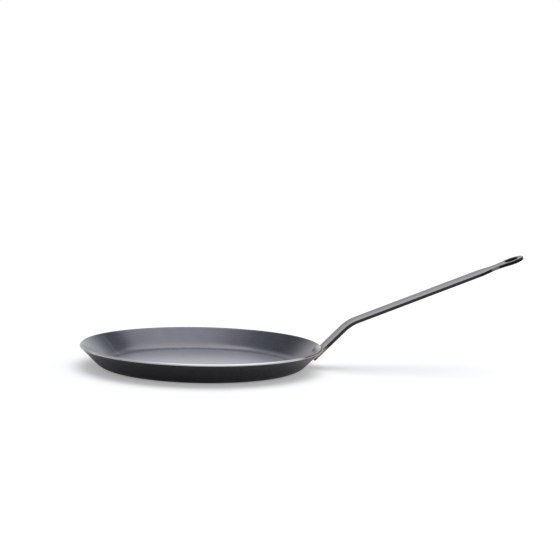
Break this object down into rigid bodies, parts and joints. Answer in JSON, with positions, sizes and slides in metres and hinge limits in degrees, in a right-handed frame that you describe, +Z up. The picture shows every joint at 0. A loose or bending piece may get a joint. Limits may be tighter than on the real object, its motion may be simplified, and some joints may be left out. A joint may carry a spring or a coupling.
{
  "type": "crepe pan",
  "caption": "Shallow round steel crepe pan with a flared wall, a long flat strip handle spot-welded to the wall and a hanging eye.",
  "frame": {"origin": "centre of the flat base, on the surface that the pan stands on", "axes": "+Z up along the pan's axis, +X from the pan's axis towards the handle's eye, +Y across the handle"},
  "size_m": [0.4423, 0.2396, 0.1151],
  "materials": {
    "blued_sheet": "blued carbon steel sheet, satin, with a bare bright cut rim",
    "strip_iron": "grey strip iron, satin, with rounded edges and a heat tint by the welds",
    "weld_metal": "fused weld metal, hidden between wall and tail"
  },
  "bodies": {
    "root": {"pan_body": "blued_sheet", "handle": "strip_iron", "spot_welds": "weld_metal"}
  },
  "joints": []
}
